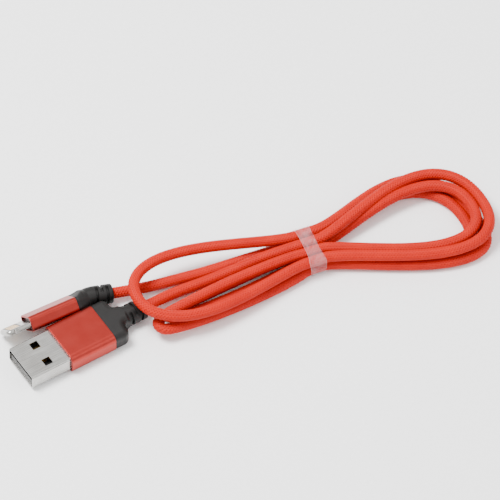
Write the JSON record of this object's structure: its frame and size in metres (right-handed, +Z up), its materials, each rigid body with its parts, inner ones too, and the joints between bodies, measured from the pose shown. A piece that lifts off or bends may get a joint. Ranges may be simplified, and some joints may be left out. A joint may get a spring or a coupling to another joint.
{
  "type": "charging cable",
  "caption": "Braided orange charging cable wound into a tied hank, with a USB-A plug and a flat reversible phone plug, both in metallic sleeves.",
  "frame": {"origin": "middle of the USB-A sleeve's flat underside, on the surface that the cable lies on", "axes": "+X runs from the USB-A plug's mouth back to its cord, +Y is to the left of that direction, and +Z is up"},
  "size_m": [0.1355, 0.0463, 0.0103],
  "materials": {
    "steel": "satin nickel plating",
    "anodised": "satin orange anodising",
    "moulding": "matt black",
    "insulator": "smooth black",
    "inner_mould": "natural translucent white",
    "gold": "gold plating",
    "solder": "dull tin",
    "board": "green solder mask",
    "chip": "matt black epoxy",
    "wire_red": "smooth",
    "wire_white": "smooth",
    "wire_green": "smooth",
    "wire_black": "smooth",
    "braid": "woven nylon",
    "band": "clear film"
  },
  "bodies": {
    "root": {"usb_shell": "steel", "usb_tongue": "insulator", "usb_contact_power": "gold", "usb_contact_data_minus": "gold", "usb_contact_data_plus": "gold", "usb_contact_ground": "gold", "usb_solder": "solder", "usb_wire_red": "wire_red", "usb_wire_white": "wire_white", "usb_wire_green": "wire_green", "usb_wire_black": "wire_black", "usb_inner_mould": "inner_mould", "usb_sleeve": "anodised", "usb_tail": "moulding", "usb_crimp": "steel", "usb_cord_end": "braid", "phone_blade": "steel", "phone_core": "insulator", "phone_contacts_top": "gold", "phone_contacts_bottom": "gold", "phone_collar": "insulator", "phone_board": "board", "phone_chip": "chip", "phone_solder": "solder", "phone_wire_red": "wire_red", "phone_wire_white": "wire_white", "phone_wire_green": "wire_green", "phone_wire_black": "wire_black", "phone_inner_mould": "inner_mould", "phone_sleeve": "anodised", "phone_tail": "moulding", "phone_crimp": "steel", "phone_cord_end": "braid", "usb_lead": "braid", "phone_lead": "braid", "cord_hank": "braid", "tie_band": "band"}
  },
  "joints": []
}
